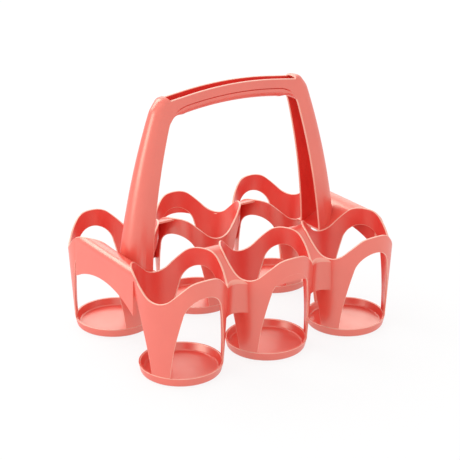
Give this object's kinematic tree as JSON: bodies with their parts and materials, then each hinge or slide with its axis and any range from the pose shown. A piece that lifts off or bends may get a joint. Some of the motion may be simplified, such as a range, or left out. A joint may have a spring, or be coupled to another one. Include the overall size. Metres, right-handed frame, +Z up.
{
  "type": "bottle carrier",
  "caption": "Open moulded bottle carrier: rows of round, windowed cups on shallow trays, joined by sloping webs, with a tall arched carrying handle over the middle.",
  "frame": {"origin": "middle of the carrier's outline on the floor that it stands on", "axes": "+X along the rows of cups, +Y from the front row to the back row, +Z up towards the handle"},
  "size_m": [0.303, 0.2302, 0.264],
  "materials": {
    "plastic": "semi-gloss coral, even colour right through"
  },
  "bodies": {
    "root": {"cup_front_left": "plastic", "cup_front_middle": "plastic", "cup_front_right": "plastic", "cup_back_left": "plastic", "cup_back_middle": "plastic", "cup_back_right": "plastic", "tray_front_left": "plastic", "tray_front_middle": "plastic", "tray_front_right": "plastic", "tray_back_left": "plastic", "tray_back_middle": "plastic", "tray_back_right": "plastic", "web_front_left": "plastic", "web_front_right": "plastic", "web_back_left": "plastic", "web_back_right": "plastic", "shoulder_left": "plastic", "shoulder_right": "plastic", "handle_upright_left": "plastic", "handle_upright_right": "plastic", "handle_corner_left": "plastic", "handle_corner_right": "plastic", "handle_grip": "plastic"}
  },
  "joints": []
}
